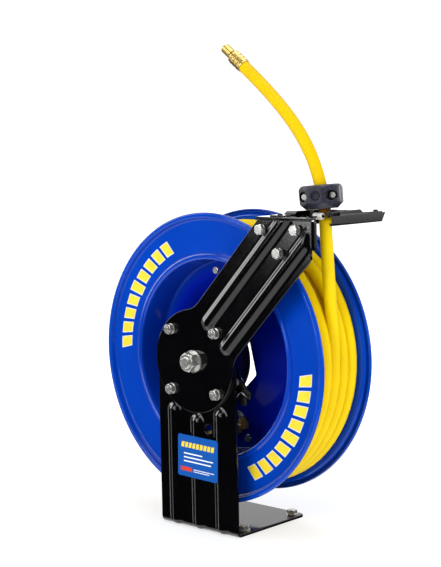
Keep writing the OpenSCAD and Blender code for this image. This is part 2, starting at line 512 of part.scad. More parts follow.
module at_tail_end() translate(tail_p[3]) rotate([0, tail_tilt, 0]) children();
module hose_ferrule() color([0.8, 0.66, 0.3]) at_tail_end() difference() {
  union() {
    cylinder(r = 9.25, h = 24, $fn = 48);
    // three rows of crimped flats
    for (z = [3, 9.5, 16]) translate([0, 0, z]) linear_extrude(5) circle(r = 9.9, $fn = 10);
    translate([0, 0, 24]) cylinder(r1 = 9.25, r2 = 7.5, h = 1.6);
  }
  translate([0, 0, -1]) cylinder(r = 8.6, h = 16);
  translate([0, 0, -1]) cylinder(r = 4, h = 40);
}
module hose_nipple() color([0.8, 0.66, 0.3]) at_tail_end() translate([0, 0, 25.6]) difference() {
  union() {
    cylinder(r = 5.2, h = 2.5);
    translate([0, 0, 2.2]) cylinder(r = 6.6, h = 15.5);
    translate([0, 0, 17.7]) cylinder(r1 = 6.6, r2 = 5.9, h = 0.9);
  }
  translate([0, 0, -1]) cylinder(r = 4, h = 40);
}

pedestal();
guide_arm();
arm_bolts();
arm_nuts();
main_shaft();
shaft_washer();
shaft_nut();
shaft_collar();
data_plate();
foot_bolts();
foot_washers();
guide_bracket();
bracket_bolts();
bracket_nuts();
roller_cover();
cover_plate_screws();
roller_cage();
roller_pins();
roller_left();
roller_right();
roller_front();
roller_back();
pawl();
pawl_stud();
pawl_spacer();
pawl_nut();
pawl_spring();
spring_post();
spool_near_half();
spool_far_half();
web_bolts();
web_nuts();
spring_canister();
canister_cover();
cover_screws();
ratchet_wheel();
power_spring();
front_bush();
rear_bush();
swivel_body();
swivel_seals();
swivel_clip();
outlet_pipe();
outlet_elbow();
hose_inner_end();
hose_pack();
hose_lead();
hose_tail();
stopper_front();
stopper_rear();
stopper_screws();
hose_ferrule();
hose_nipple();
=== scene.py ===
# Visual model of a spring-retractable air hose reel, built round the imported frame.
import bpy, bmesh, math
import numpy as np
from mathutils import Vector, Matrix
from mathutils.geometry import delaunay_2d_cdt


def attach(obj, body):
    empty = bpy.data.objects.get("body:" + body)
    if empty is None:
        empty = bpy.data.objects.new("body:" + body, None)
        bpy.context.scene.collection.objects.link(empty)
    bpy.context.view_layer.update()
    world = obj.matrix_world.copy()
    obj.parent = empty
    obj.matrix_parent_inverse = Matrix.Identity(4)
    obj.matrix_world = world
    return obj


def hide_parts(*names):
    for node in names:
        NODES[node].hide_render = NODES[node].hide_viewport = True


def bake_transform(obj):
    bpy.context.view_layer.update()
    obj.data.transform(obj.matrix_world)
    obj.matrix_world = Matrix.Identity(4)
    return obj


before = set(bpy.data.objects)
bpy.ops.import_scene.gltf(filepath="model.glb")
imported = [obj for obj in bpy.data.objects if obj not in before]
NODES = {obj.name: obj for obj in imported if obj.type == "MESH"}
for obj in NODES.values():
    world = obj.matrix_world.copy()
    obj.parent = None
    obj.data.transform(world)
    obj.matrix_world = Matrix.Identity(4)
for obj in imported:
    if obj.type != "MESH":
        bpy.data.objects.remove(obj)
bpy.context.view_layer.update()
scene = bpy.context.scene
H = 0.238            # height of the spool's axle
MM = 0.001
rng = np.random.default_rng(7)

# ------------------------------------------------------------------ camera
def rad(d):
    return math.radians(d)

AZ, EL, ROLL = rad(42.6466), rad(5.9958), rad(-1.1199)
back = Vector((math.sin(AZ) * math.cos(EL), -math.cos(AZ) * math.cos(EL), math.sin(EL)))
right0 = Vector((math.cos(AZ), math.sin(AZ), 0.0))
up0 = back.cross(right0)
rgt = math.cos(ROLL) * right0 + math.sin(ROLL) * up0
upv = -math.sin(ROLL) * right0 + math.cos(ROLL) * up0
cam_data = bpy.data.cameras.new("camera")
cam_data.sensor_width = 36.0
cam_data.sensor_fit = "AUTO"
cam_data.lens = 1396.94 / 567.0 * 36.0
cam_data.clip_start, cam_data.clip_end = 0.02, 50.0
cam = bpy.data.objects.new("camera", cam_data)
scene.collection.objects.link(cam)
m = Matrix((rgt, upv, back)).transposed().to_4x4()
m.translation = Vector((1.31522, -1.45302, 0.54418))
cam.matrix_world = m
scene.camera = cam

# ------------------------------------------------------------------ nodes of materials
def new_mat(name):
    mat = bpy.data.materials.new(name)
    mat.use_nodes = True
    nt = mat.node_tree
    bsdf = next(n for n in nt.nodes if n.type == "BSDF_PRINCIPLED")
    return mat, nt, bsdf

def N(nt, kind, **vals):
    n = nt.nodes.new(kind)
    for k, v in vals.items():
        if k in n.inputs:
            n.inputs[k].default_value = v
        else:
            setattr(n, k, v)
    return n

def ramp(nt, fac, stops):
    r = nt.nodes.new("ShaderNodeValToRGB")
    els = r.color_ramp.elements
    while len(els) < len(stops):
        els.new(0.5)
    for e, (p, c) in zip(els, stops):
        e.position = p
        e.color = c if len(c) == 4 else (*c, 1.0)
    nt.links.new(fac, r.inputs["Fac"])
    return r.outputs["Color"]

def noise(nt, coord, scale, detail=3.0, rough=0.55):
    n = N(nt, "ShaderNodeTexNoise", Scale=scale, Detail=detail, Roughness=rough)
    nt.links.new(coord, n.inputs["Vector"])
    return n.outputs["Fac"]

def obj_coord(nt, scale=(1, 1, 1)):
    tc = nt.nodes.new("ShaderNodeTexCoord")
    mp = nt.nodes.new("ShaderNodeMapping")
    mp.inputs["Scale"].default_value = scale
    nt.links.new(tc.outputs["Object"], mp.inputs["Vector"])
    return mp.outputs["Vector"]

def maprange(nt, val, a, b, c, d):
    n = N(nt, "ShaderNodeMapRange")
    n.inputs["From Min"].default_value, n.inputs["From Max"].default_value = a, b
    n.inputs["To Min"].default_value, n.inputs["To Max"].default_value = c, d
    nt.links.new(val, n.inputs["Value"])
    return n.outputs["Result"]

def bump(nt, bsdf, height, strength, dist):
    b = N(nt, "ShaderNodeBump", Strength=strength, Distance=dist)
    nt.links.new(height, b.inputs["Height"])
    nt.links.new(b.outputs["Normal"], bsdf.inputs["Normal"])
    return b

def paint(name, lo, hi, rough=(0.1, 0.2), coat=1.0, coat_rough=0.06, peel=0.06, wear=None, spec=0.5):
    """gloss paint: slow colour drift, faint orange peel, fine dust in the roughness, thin wear on sharp edges"""
    mat, nt, b = new_mat(name)
    c = obj_coord(nt)
    drift = noise(nt, c, 9.0, 2.0)
    col = ramp(nt, drift, [(0.3, lo), (0.7, hi)])
    if wear is not None:
        geo = nt.nodes.new("ShaderNodeNewGeometry")
        spots = noise(nt, c, 260.0, 5.0, 0.7)
        edge = maprange(nt, geo.outputs["Pointiness"], 0.53, 0.60, 0.0, 1.0)
        mul = N(nt, "ShaderNodeMath", operation="MULTIPLY")
        nt.links.new(edge, mul.inputs[0])
        nt.links.new(maprange(nt, spots, 0.5, 0.66, 0.0, 1.0), mul.inputs[1])
        mix = N(nt, "ShaderNodeMix", data_type="RGBA")
        nt.links.new(mul.outputs[0], mix.inputs["Factor"])
        nt.links.new(col, mix.inputs["A"])
        mix.inputs["B"].default_value = (*wear, 1.0)
        col = mix.outputs["Result"]
    nt.links.new(col, b.inputs["Base Color"])
    dust = noise(nt, c, 55.0, 6.0, 0.65)
    nt.links.new(maprange(nt, dust, 0.3, 0.75, rough[0], rough[1]), b.inputs["Roughness"])
    b.inputs["Coat Weight"].default_value = coat
    nt.links.new(maprange(nt, dust, 0.35, 0.8, coat_rough * 0.6, coat_rough * 2.0), b.inputs["Coat Roughness"])
    b.inputs["Specular IOR Level"].default_value = spec
    bp = bump(nt, b, noise(nt, c, 420.0, 2.0), peel, 0.0004)
    nt.links.new(bp.outputs["Normal"], b.inputs["Coat Normal"])
    return mat

def metal(name, lo, hi, rough=(0.18, 0.34), scale=120.0, stretch=(1, 1, 1), bump_s=0.05, tint=None, metallic=1.0):
    mat, nt, b = new_mat(name)
    c = obj_coord(nt, stretch)
    n1 = noise(nt, c, scale, 4.0, 0.6)
    n2 = noise(nt, c, 14.0, 3.0)
    col = ramp(nt, n2, [(0.3, lo), (0.7, hi)])
    if tint is not None:
        mix = N(nt, "ShaderNodeMix", data_type="RGBA")
        nt.links.new(maprange(nt, noise(nt, c, 45.0, 5.0, 0.7), 0.52, 0.72, 0.0, 0.6), mix.inputs["Factor"])
        nt.links.new(col, mix.inputs["A"])
        mix.inputs["B"].default_value = (*tint, 1.0)
        col = mix.outputs["Result"]
    nt.links.new(col, b.inputs["Base Color"])
    b.inputs["Metallic"].default_value = metallic
    nt.links.new(maprange(nt, n1, 0.3, 0.7, rough[0], rough[1]), b.inputs["Roughness"])
    bump(nt, b, n1, bump_s, 0.0003)
    return mat

def plastic(name, lo, hi, rough=(0.35, 0.5), scale=900.0, bump_s=0.25, dist=0.00025, spec=0.5):
    mat, nt, b = new_mat(name)
    c = obj_coord(nt)
    col = ramp(nt, noise(nt, c, 25.0, 3.0), [(0.3, lo), (0.7, hi)])
    nt.links.new(col, b.inputs["Base Color"])
    g = noise(nt, c, scale, 2.0)
    nt.links.new(maprange(nt, noise(nt, c, 60.0, 5.0), 0.3, 0.7, rough[0], rough[1]), b.inputs["Roughness"])
    b.inputs["Specular IOR Level"].default_value = spec
    bump(nt, b, g, bump_s, dist)
    return mat

MAT = {}
MAT["black_paint"] = paint("gloss_black_paint", (0.0008, 0.0008, 0.0012), (0.0018, 0.0018, 0.0022), (0.07, 0.14), 0.5, 0.04, 0.05, wear=(0.05, 0.05, 0.052))
def spool_paint():
    """the blue gloss: painted shade darkens the base colour inside the dish, where little light gets in, and it is
    glossiest on the folds and the rolled rim
    """
    mat = paint("gloss_blue_paint", (0.0004, 0.036, 0.36), (0.0010, 0.046, 0.43), (0.10, 0.20), 0.35, 0.05, 0.05, wear=(0.02, 0.12, 0.60), spec=0.3)
    nt = mat.node_tree
    b = next(n for n in nt.nodes if n.type == "BSDF_PRINCIPLED")
    sp = nt.nodes.new("ShaderNodeSeparateXYZ"); nt.links.new(obj_coord(nt), sp.inputs[0])
    def m(op, a, c_):
        n = nt.nodes.new("ShaderNodeMath"); n.operation = op
        for k, v in enumerate((a, c_)):
            if isinstance(v, (int, float)): n.inputs[k].default_value = v
            else: nt.links.new(v, n.inputs[k])
        return n.outputs[0]
    z = m("SUBTRACT", sp.outputs[2], H)
    r = m("SQRT", m("ADD", m("MULTIPLY", sp.outputs[0], sp.outputs[0]), m("MULTIPLY", z, z)), 0.0)
    base = b.inputs["Base Color"].links[0].from_socket
    # painted shade: the base colour is multiplied darker towards the middle of the dish, by radius from the axle
    dish_painted_shade = ramp(nt, m("MULTIPLY", r, 5.0), [(0.30, (0.10, 0.03, 0.16)), (0.44, (0.3, 0.10, 0.40)), (0.60, (0.7, 0.22, 0.80)), (0.69, (1, 1, 1)), (1.0, (1, 1.12, 1.0))])
    mx = N(nt, "ShaderNodeMix", data_type="RGBA", blend_type="MULTIPLY")
    mx.inputs["Factor"].default_value = 1.0
    nt.links.new(base, mx.inputs["A"]); nt.links.new(dish_painted_shade, mx.inputs["B"])
    nt.links.new(mx.outputs["Result"], b.inputs["Base Color"])
    g = ramp(nt, m("MULTIPLY", r, 5.0), [(0.0, (0.03,) * 3), (0.665, (0.03,) * 3), (0.69, (0.7,) * 3), (0.73, (0.7,) * 3), (0.76, (0.10,) * 3), (0.94, (0.10,) * 3), (0.965, (0.35,) * 3)])
    gv = nt.nodes.new("ShaderNodeSeparateColor"); nt.links.new(g, gv.inputs[0])
    nt.links.new(gv.outputs[0], b.inputs["Coat Weight"])
    nt.links.new(m("MULTIPLY", m("ADD", gv.outputs[0], 0.12), 0.4), b.inputs["Specular IOR Level"])
    return mat
MAT["blue_paint"] = spool_paint()
# a darker copy of the brass for the swivel body and outlet elbow inside the drum: painted shade
MAT["brass_in_painted_shade"] = metal("brass_in_painted_shade", (0.16, 0.10, 0.035), (0.26, 0.17, 0.06), (0.25, 0.4), tint=(0.12, 0.07, 0.02), metallic=0.7)
MAT["black_nylon"] = plastic("black_nylon", (0.012, 0.012, 0.014), (0.022, 0.022, 0.026), (0.16, 0.28), 500.0, 0.05, spec=0.6)
MAT["zinc"] = metal("bright_zinc", (0.62, 0.62, 0.60), (0.80, 0.79, 0.76), (0.14, 0.30), tint=(0.55, 0.53, 0.47), metallic=0.86)
MAT["dark_steel"] = metal("blackened_steel", (0.035, 0.035, 0.036), (0.07, 0.068, 0.065), (0.3, 0.5))
MAT["spring_steel"] = metal("spring_steel", (0.30, 0.31, 0.33), (0.42, 0.43, 0.45), (0.2, 0.35))
MAT["brass"] = metal("turned_brass", (0.56, 0.38, 0.10), (0.72, 0.53, 0.18), (0.12, 0.24), bump_s=0.02, tint=(0.45, 0.29, 0.07), metallic=0.9)
MAT["bronze"] = metal("sintered_bronze", (0.45, 0.27, 0.12), (0.58, 0.36, 0.17), (0.35, 0.5), scale=600.0, bump_s=0.2)
MAT["black_plastic"] = plastic("satin_black_plastic", (0.016, 0.017, 0.028), (0.027, 0.028, 0.043), (0.26, 0.40))
# pale nylon for the front roller alone, where the other rollers are black nylon: its pale tone is partly the nylon's
# own colour and partly a painted highlight
MAT["nylon"] = plastic("pale_nylon_painted_highlight", (0.72, 0.72, 0.69), (0.84, 0.84, 0.81), (0.3, 0.42), 500.0, 0.1)
MAT["seal_rubber"] = plastic("nitrile_rubber", (0.01, 0.01, 0.01), (0.02, 0.02, 0.02), (0.5, 0.7))

def hose_material():
    """smooth extruded rubber: slight mottling, drawn lines along the hose come from the v coordinate of its UV map"""
    mat, nt, b = new_mat("yellow_hose_rubber")
    c = obj_coord(nt)
    col = ramp(nt, noise(nt, c, 18.0, 4.0), [(0.3, (0.78, 0.545, 0.0)), (0.7, (0.85, 0.61, 0.0))])
    scuff = noise(nt, c, 90.0, 6.0, 0.7)
    mix = N(nt, "ShaderNodeMix", data_type="RGBA")
    nt.links.new(maprange(nt, scuff, 0.62, 0.80, 0.0, 0.16), mix.inputs["Factor"])
    nt.links.new(col, mix.inputs["A"])
    mix.inputs["B"].default_value = (0.66, 0.42, 0.002, 1.0)
    b.inputs["Specular IOR Level"].default_value = 0.14
    # painted shade by height: a dark band where the hose passes under the stopper and between the rollers is a painted
    # shadow, and the end that stands in the strongest light is painted a shade darker
    sp = nt.nodes.new("ShaderNodeSeparateXYZ"); nt.links.new(c, sp.inputs[0])
    band = ramp(nt, maprange(nt, sp.outputs[2], 0.40, 0.52, 0.0, 1.0), [(0.0, (1, 1, 1)), (0.27, (1, 1, 1)), (0.34, (0.22, 0.13, 0.3)), (0.42, (0.12, 0.06, 0.3)), (0.47, (0.9, 0.83, 1)), (1.0, (0.85, 0.79, 1))])
    mb = N(nt, "ShaderNodeMix", data_type="RGBA", blend_type="MULTIPLY")
    mb.inputs["Factor"].default_value = 1.0
    nt.links.new(mix.outputs["Result"], mb.inputs["A"]); nt.links.new(band, mb.inputs["B"])
    mix = mb
    nt.links.new(mix.outputs["Result"], b.inputs["Base Color"])
    nt.links.new(maprange(nt, scuff, 0.3, 0.75, 0.30, 0.50), b.inputs["Roughness"])
    b.inputs["Subsurface Weight"].default_value = 0.06
    b.inputs["Subsurface Radius"].default_value = (0.004, 0.002, 0.0004)
    b.inputs["Subsurface Scale"].default_value = 1.0
    # fine drawn lines round the hose's girth, from its UV map
    uv = nt.nodes.new("ShaderNodeUVMap"); uv.uv_map = "UVMap"
    mp = nt.nodes.new("ShaderNodeMapping"); mp.inputs["Scale"].default_value = (2.0, 60.0, 1.0)
    nt.links.new(uv.outputs["UV"], mp.inputs["Vector"])
    ln = N(nt, "ShaderNodeTexNoise", Scale=1.0, Detail=3.0)
    nt.links.new(mp.outputs["Vector"], ln.inputs["Vector"])
    fine = noise(nt, c, 1400.0, 2.0)
    add = N(nt, "ShaderNodeMath", operation="ADD")
    nt.links.new(ln.outputs["Fac"], add.inputs[0]); nt.links.new(fine, add.inputs[1])
    bump(nt, b, add.outputs[0], 0.12, 0.0003)
    return mat
MAT["hose_rubber"] = hose_material()

# ------------------------------------------------------------------ mesh helpers
def link(name, verts, faces, mat, body, smooth=True):
    me = bpy.data.meshes.new(name)
    me.from_pydata([tuple(map(float, v)) for v in verts], [], [tuple(map(int, f)) for f in faces])
    me.validate(clean_customdata=False)
    me.update()
    if smooth:
        me.polygons.foreach_set("use_smooth", [True] * len(me.polygons))
    ob = bpy.data.objects.new(name, me)
    scene.collection.objects.link(ob)
    me.materials.append(mat)
    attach(ob, body)
    return ob

def add_bevel(ob, width, segments=2, angle=38.0, weighted=True, clamp=False):
    bv = ob.modifiers.new("round_edges", "BEVEL")
    bv.width, bv.segments, bv.limit_method, bv.angle_limit = width, segments, "ANGLE", rad(angle)
    bv.use_clamp_overlap = clamp
    bv.miter_outer = "MITER_SHARP"
    if weighted:
        wn = ob.modifiers.new("flat_shading", "WEIGHTED_NORMAL")
        wn.keep_sharp = False
        wn.weight = 60
    return ob

def dress(node, mat, bevel=0.0, segments=2, angle=35.0):
    """a CAD node keeps its mesh; it gets a material, its doubled edge points are welded, and its edges are rounded"""
    ob = NODES[node]
    ob.data.materials.clear()
    ob.data.materials.append(mat)
    ob.data.polygons.foreach_set("use_smooth", [True] * len(ob.data.polygons))
    w = ob.modifiers.new("weld", "WELD")
    w.merge_threshold = 0.00001
    if bevel > 0:
        add_bevel(ob, bevel, segments, angle)
    else:
        wn = ob.modifiers.new("flat_shading", "WEIGHTED_NORMAL"); wn.weight = 60; wn.keep_sharp = False
    return ob

def frames(P):
    """parallel-transport frames along the points P"""
    P = np.asarray(P, float)
    T = np.gradient(P, axis=0)
    T /= np.linalg.norm(T, axis=1)[:, None]
    u = np.array([0.0, 1.0, 0.0]) - T[0] * T[0][1]
    if np.linalg.norm(u) < 0.2:
        u = np.array([1.0, 0.0, 0.0]) - T[0] * T[0][0]
    u /= np.linalg.norm(u)
    U = [u]
    for i in range(1, len(P)):
        u = U[-1] - T[i] * np.dot(U[-1], T[i])
        U.append(u / np.linalg.norm(u))
    U = np.array(U)
    return T, U, np.cross(T, U)

def tube_mesh(P, R, sides=18):
    P = np.asarray(P, float)
    n = len(P)
    R = np.full(n, R) if np.isscalar(R) else np.asarray(R, float)
    T, U, V = frames(P)
    a = 2 * np.pi * np.arange(sides) / sides
    ring = P[:, None, :] + R[:, None, None] * (np.cos(a)[None, :, None] * U[:, None, :] + np.sin(a)[None, :, None] * V[:, None, :])
    verts = ring.reshape(-1, 3)
    idx = np.arange(n * sides).reshape(n, sides)
    q = np.stack([idx[:-1], np.roll(idx, -1, 1)[:-1], np.roll(idx, -1, 1)[1:], idx[1:]], -1).reshape(-1, 4)
    faces = [tuple(f) for f in q]
    c0, c1 = len(verts), len(verts) + 1
    verts = np.vstack([verts, P[0], P[-1]])
    for k in range(sides):
        faces.append((c0, int(idx[0, (k + 1) % sides]), int(idx[0, k])))
        faces.append((c1, int(idx[-1, k]), int(idx[-1, (k + 1) % sides])))
    return verts, faces

def uv_tube(ob, n, sides, length):
    """u runs along the tube in metres, v round it"""
    me = ob.data
    uvl = me.uv_layers.new(name="UVMap")
    li = 0
    for p in me.polygons:
        for vi in p.vertices:
            if vi < n * sides:
                i, k = divmod(vi, sides)
                vv = k / sides
                if k == 0 and any((w % sides) == sides - 1 for w in p.vertices if w < n * sides):
                    vv = 1.0
                uvl.data[li].uv = (length * i / (n - 1) * 20.0, vv)
            li += 1

def make_tube(name, P, R, mat, body, sides=18):
    v, f = tube_mesh(P, R, sides)
    ob = link(name, v, f, mat, body)
    L = float(np.linalg.norm(np.diff(np.asarray(P, float), axis=0), axis=1).sum())
    uv_tube(ob, len(P), sides, L)
    return ob

def smooth01(t):
    t = np.clip(t, 0.0, 1.0)
    return t * t * (3 - 2 * t)

# ------------------------------------------------------------------ the free end of the hose
HR = 0.0085
GX, GY = 0.1785, -0.014
tail_p = np.array([(178.5, -14, 438), (174.7, -19, 522.6), (134, -20, 568.8), (47, -20, 638)], float) * MM
TILT = rad(-52)
tail_u = np.array([math.sin(TILT), 0.0, math.cos(TILT)])

def bez(p, t):
    t = np.asarray(t)[:, None]
    return (1 - t) ** 3 * p[0] + 3 * (1 - t) ** 2 * t * p[1] + 3 * (1 - t) * t * t * p[2] + t ** 3 * p[3]

tail_pts = np.vstack([bez(tail_p, np.linspace(0, 1, 34)), [tail_p[3] + s * MM * tail_u for s in (3, 6, 9, 12, 14.9)]])
cu = bpy.data.curves.new("hose_free_end", "CURVE")
cu.dimensions = "3D"
sp = cu.splines.new("POLY")
sp.points.add(len(tail_pts) - 1)
for p, q in zip(sp.points, tail_pts):
    p.co = (*q, 1.0)
cu.bevel_depth = HR
cu.bevel_resolution = 8
cu.use_fill_caps = True
cu.materials.append(MAT["hose_rubber"])
tail = bpy.data.objects.new("hose_free_end", cu)
scene.collection.objects.link(tail)
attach(tail, "root")
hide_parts("hose_tail")

# ------------------------------------------------------------------ hose on the spool
def turns_path(way, per_turn=64, jog=0.14, phase=0.0):
    """way: list of (y, r) for each whole turn; a smooth step from one to the next over the last part of the turn"""
    n = len(way)
    t = np.linspace(0, n, n * per_turn + 1)
    k = np.minimum(t.astype(int), n - 1)
    f = t - k
    y0 = np.array([w[0] for w in way]); r0 = np.array([w[1] for w in way])
    kn = np.minimum(k + 1, n - 1)
    s = smooth01((f - (1 - jog)) / jog)
    y = y0[k] * (1 - s) + y0[kn] * s
    r = r0[k] * (1 - s) + r0[kn] * s
    return t, y, r

way = [(y, 147.4) for y in (-35.4, -17.7, 0, 17.7, 35.4)] + [(35.4, 163.6), (17.7, 163.0), (35.4, 180.5), (17.4, 180.5), (0, 162.6), (-17.7, 162.6), (-35.4, 162.6)]
t, y, r = turns_path(way)
wob = np.interp(t, np.linspace(0, len(way), 90), rng.normal(0, 0.35, 90))
wob2 = np.interp(t, np.linspace(0, len(way), 70), rng.normal(0, 0.3, 70))
th = -2 * np.pi * t - rad(200)
pack = np.stack([(r + wob) * np.cos(th), y + wob2, H / MM + (r + wob) * np.sin(th)], 1) * MM
winding = make_tube("hose_winding", pack, HR - 0.0001, MAT["hose_rubber"], "spool", 18)
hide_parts("hose_pack")

def lead_y(t):
    return -1 - 17.5 * smooth01((t - 0.45) / 0.3) - 17.2 * smooth01((t - 1.45) / 0.3)

LR = 180.5
tt = np.linspace(2.62, 0, 170)
rr_ = LR - 17.5 * smooth01((tt - 2.38) / 0.22)
lead = [((rr_[i]) * math.cos(-2 * math.pi * a), float(lead_y(np.array(a))), H / MM + rr_[i] * math.sin(-2 * math.pi * a)) for i, a in enumerate(tt)]
run = np.array([(LR, -1.1, 258), (LR, -2.2, 280), (LR, -5, 302), (LR, -8, 330), (180.3, -11, 370), (179.5, -13, 405), (178.5, -14, 437.6)], float)
def catmull(P, per=6):
    P = np.vstack([2 * P[0] - P[1], P, 2 * P[-1] - P[-2]])
    out = []
    for i in range(1, len(P) - 2):
        for s in np.linspace(0, 1, per, endpoint=False):
            a, b, c, d = P[i - 1], P[i], P[i + 1], P[i + 2]
            out.append(0.5 * ((2 * b) + (c - a) * s + (2 * a - 5 * b + 4 * c - d) * s * s + (3 * b - a - 3 * c + d) * s ** 3))
    out.append(P[-2])
    return np.array(out)
lead_all = np.vstack([np.array(lead), catmull(run, 5)]) * MM
lead_ob = make_tube("hose_last_turns", lead_all, HR - 0.0001, MAT["hose_rubber"], "root", 20)
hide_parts("hose_lead")

# ------------------------------------------------------------------ pressed sheet parts
def in_poly(pts, loop):
    x, y = pts[:, 0], pts[:, 1]
    inside = np.zeros(len(pts), bool)
    n = len(loop)
    for i in range(n):
        x1, y1 = loop[i]; x2, y2 = loop[(i + 1) % n]
        cond = ((y1 > y) != (y2 > y))
        with np.errstate(divide="ignore", invalid="ignore"):
            xi = (x2 - x1) * (y - y1) / (y2 - y1) + x1
        inside ^= cond & (x < xi)
    return inside

def near_loop(pts, loop, d):
    L = np.asarray(loop, float)
    A, B = L, np.roll(L, -1, 0)
    best = np.full(len(pts), 1e9)
    for a, b in zip(A, B):
        ab = b - a
        t = np.clip(((pts - a) @ ab) / max(ab @ ab, 1e-12), 0, 1)
        q = a + t[:, None] * ab
        best = np.minimum(best, np.linalg.norm(pts - q, axis=1))
    return best < d

def resample(loop, step):
    out = []
    n = len(loop)
    for i in range(n):
        a = np.array(loop[i], float); b = np.array(loop[(i + 1) % n], float)
        k = max(1, int(round(np.linalg.norm(b - a) / step)))
        for j in range(k):
            out.append(tuple(a + (b - a) * j / k))
    return out

def rounded(loop, radii, n=6):
    """corners of a polygon rounded with the given radii"""
    out = []
    m_ = len(loop)
    for i in range(m_):
        p = np.array(loop[i], float); a = np.array(loop[i - 1], float); b = np.array(loop[(i + 1) % m_], float)
        r = radii[i] if hasattr(radii, "__len__") else radii
        if r <= 0:
            out.append(tuple(p)); continue
        ua = (a - p) / np.linalg.norm(a - p); ub = (b - p) / np.linalg.norm(b - p)
        half = 0.5 * math.acos(max(-1, min(1, float(ua @ ub))))
        d = r / math.tan(half)
        c = p + (ua + ub) / np.linalg.norm(ua + ub) * (r / math.sin(half))
        s0 = p + ua * d; s1 = p + ub * d
        a0 = math.atan2(*(s0 - c)[::-1]); a1 = math.atan2(*(s1 - c)[::-1])
        da = (a1 - a0 + math.pi) % (2 * math.pi) - math.pi
        for k in range(n + 1):
            ang = a0 + da * k / n
            out.append((c[0] + r * math.cos(ang), c[1] + r * math.sin(ang)))
    return out

def circle2(cx, cy, r, n=28):
    return [(cx + r * math.cos(2 * math.pi * k / n), cy + r * math.sin(2 * math.pi * k / n)) for k in range(n)]

def sheet(name, outer, holes, place, thick, height, mat, body, step=2.5, edge=3.0, bevel=0.7, lines_u=(), lines_v=()):
    """A pressed sheet. outer and holes are loops in flat millimetres; place(u, v) gives position and normal
    of the front side; height(u, v) is the pressing's height. The back side is thick lower."""
    loops = [resample(outer, edge)] + [resample(h, edge) if len(h) < 12 else h for h in holes]
    verts, edges = [], []
    for L in loops:
        s = len(verts)
        verts += [Vector((float(a), float(b))) for a, b in L]
        edges += [(s + i, s + (i + 1) % len(L)) for i in range(len(L))]
    lo = np.min(np.array(outer), 0); hi = np.max(np.array(outer), 0)
    us = np.arange(lo[0] + step * 0.5, hi[0], step); vs = np.arange(lo[1] + step * 0.5, hi[1], step)
    us = np.unique(np.round(np.concatenate([us, np.array(lines_u, float)]), 4)); vs = np.unique(np.round(np.concatenate([vs, np.array(lines_v, float)]), 4))
    g = np.stack(np.meshgrid(us, vs), -1).reshape(-1, 2)
    keep = in_poly(g, loops[0]) & ~near_loop(g, loops[0], edge * 0.55)
    for L in loops[1:]:
        keep &= ~in_poly(g, L) & ~near_loop(g, L, edge * 0.45)
    g = g[keep]
    verts += [Vector((float(a), float(b))) for a, b in g]
    vo, eo, fo, _, _, _ = delaunay_2d_cdt(verts, edges, [], 1, 1e-7)
    V = np.array([(p.x, p.y) for p in vo])
    F = [tuple(f) for f in fo]
    cen = np.array([V[list(f)].mean(0) for f in F])
    good = in_poly(cen, loops[0])
    for L in loops[1:]:
        good &= ~in_poly(cen, L)
    F = [f for f, k in zip(F, good) if k]
    # consistent winding (counter-clockwise in u, v)
    FF = []
    for f in F:
        a, b, c = V[f[0]], V[f[1]], V[f[2]]
        if (b[0] - a[0]) * (c[1] - a[1]) - (b[1] - a[1]) * (c[0] - a[0]) < 0:
            f = f[::-1]
        FF.append(f)
    F = FF
    P, Nn = place(V[:, 0], V[:, 1])
    hgt = height(V[:, 0], V[:, 1])
    front = P + Nn * hgt[:, None]
    backv = front - Nn * thick
    n = len(V)
    allv = np.vstack([front, backv]) * MM
    # boundary edges
    from collections import Counter
    cnt = Counter()
    for f in F:
        for i in range(len(f)):
            a, b = f[i], f[(i + 1) % len(f)]
            cnt[(a, b)] += 1
    faces = [f for f in F] + [tuple(i + n for i in f[::-1]) for f in F]
    for (a, b) in cnt:
        if (b, a) not in cnt:
            faces.append((b, a, a + n, b + n))
    # orientation: front normals should follow Nn
    f = F[0]
    fn = np.cross(front[f[1]] - front[f[0]], front[f[2]] - front[f[0]])
    if fn @ Nn[f[0]] < 0:
        faces = [q[::-1] for q in faces]
    ob = link(name, allv, faces, mat, body)
    add_bevel(ob, bevel * MM, 3, 50.0)
    return ob

def stadium(u, v, a, b):
    """distance of (u, v) from the segment a-b"""
    a = np.array(a, float); b = np.array(b, float)
    ab = b - a
    t = np.clip(((u - a[0]) * ab[0] + (v - a[1]) * ab[1]) / (ab @ ab), 0, 1)
    return np.hypot(u - (a[0] + t * ab[0]), v - (a[1] + t * ab[1]))

def press(d, w_in, w_out, h):
    """rounded step: full height inside w_in, zero beyond w_out"""
    s = np.clip((w_out - d) / (w_out - w_in), 0, 1)
    return h * (s * s * (3 - 2 * s) * 0.55 + s * 0.45)

# ---- pedestal: flat pattern (x, s), where s runs up the post from the bend line and negative s along the foot
PF, PA, PB = -75.0, -79.0, -83.0
POST_W = 145.0
RB = 8.0      # outer bend radius
def place_pedestal(u, v):
    # v >= 0: post, z = v + RB; v between -arc and 0: bend; below: foot
    arc = RB * math.pi / 2
    P = np.zeros((len(u), 3)); Nn = np.zeros((len(u), 3))
    up = v >= 0
    P[up] = np.stack([u[up], np.full(up.sum(), PA), v[up] + RB], 1); Nn[up] = (0, -1, 0)
    bd = (v < 0) & (v > -arc)
    a = -v[bd] / RB
    P[bd] = np.stack([u[bd], PA + RB - RB * np.cos(a), RB - RB * np.sin(a)], 1)
    Nn[bd] = np.stack([np.zeros(bd.sum()), -np.cos(a), -np.sin(a)], 1)
    ft = v <= -arc
    P[ft] = np.stack([u[ft], PA + RB + (-v[ft] - arc), np.zeros(ft.sum())], 1); Nn[ft] = (0, 0, -1)
    return P, Nn
arcL = RB * math.pi / 2
foot = 145.0 - RB
top_z = 238.0
post_out = [(-POST_W / 2, -(arcL + foot)), (POST_W / 2, -(arcL + foot)), (POST_W / 2, 225 - RB)]
